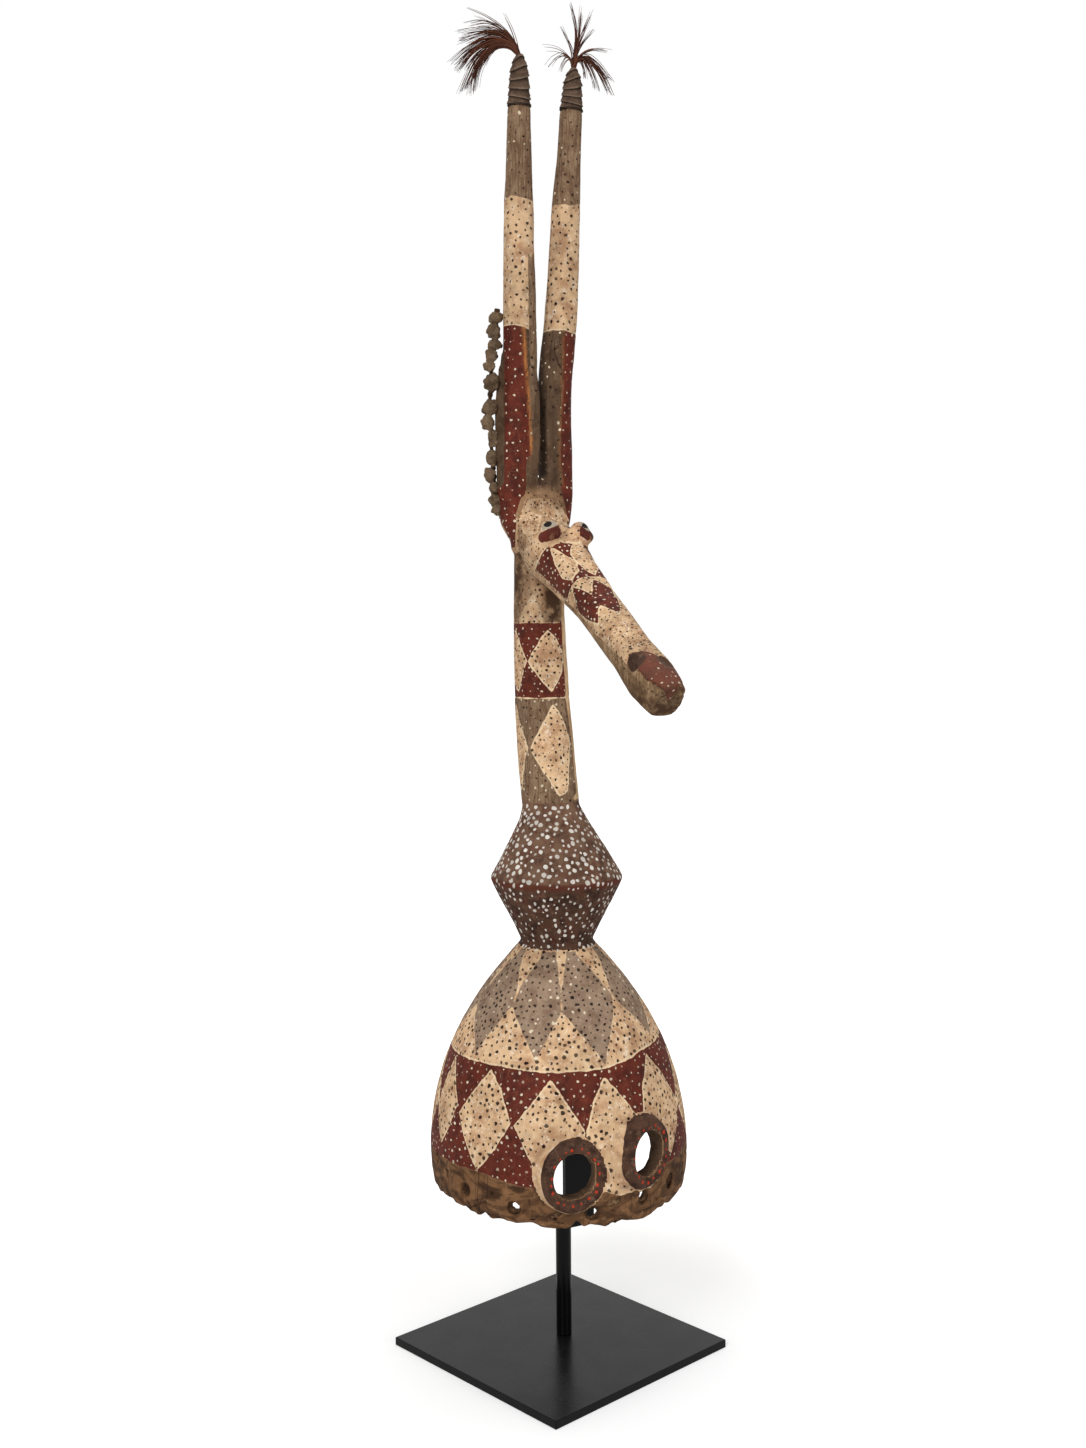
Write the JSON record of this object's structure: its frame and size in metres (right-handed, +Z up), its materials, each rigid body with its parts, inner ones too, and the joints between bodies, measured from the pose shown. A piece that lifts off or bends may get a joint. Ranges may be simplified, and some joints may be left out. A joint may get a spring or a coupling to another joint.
{
  "type": "antelope helmet mask on a display stand",
  "caption": "Painted wooden helmet mask with a long antelope head and tall horns, held upright by a black steel plate and rod.",
  "frame": {"origin": "centre of the base plate's underside, on the floor", "axes": "+Z up along the stand rod, the antelope looks towards -Y, +X to the viewer's right of its face"},
  "size_m": [0.336, 0.4202, 1.529],
  "materials": {
    "painted_wood": "worn earth paint in cream, red-brown and grey-brown, matte",
    "black_plate": "satin black powder coat",
    "black_rod": "semi-gloss black paint",
    "bound_cloth": "dusty grey-brown cloth strips",
    "red_hair": "dyed red-brown hair, slight sheen",
    "knotted_cord": "dusty knotted fibre"
  },
  "bodies": {
    "root": {"mask_carving": "painted_wood", "base_plate": "black_plate", "stand_rod": "black_rod", "mount_bar": "black_rod", "horn_wrap_left": "bound_cloth", "horn_wrap_right": "bound_cloth", "hair_tuft_left": "red_hair", "hair_tuft_right": "red_hair", "mane": "knotted_cord"}
  },
  "joints": []
}
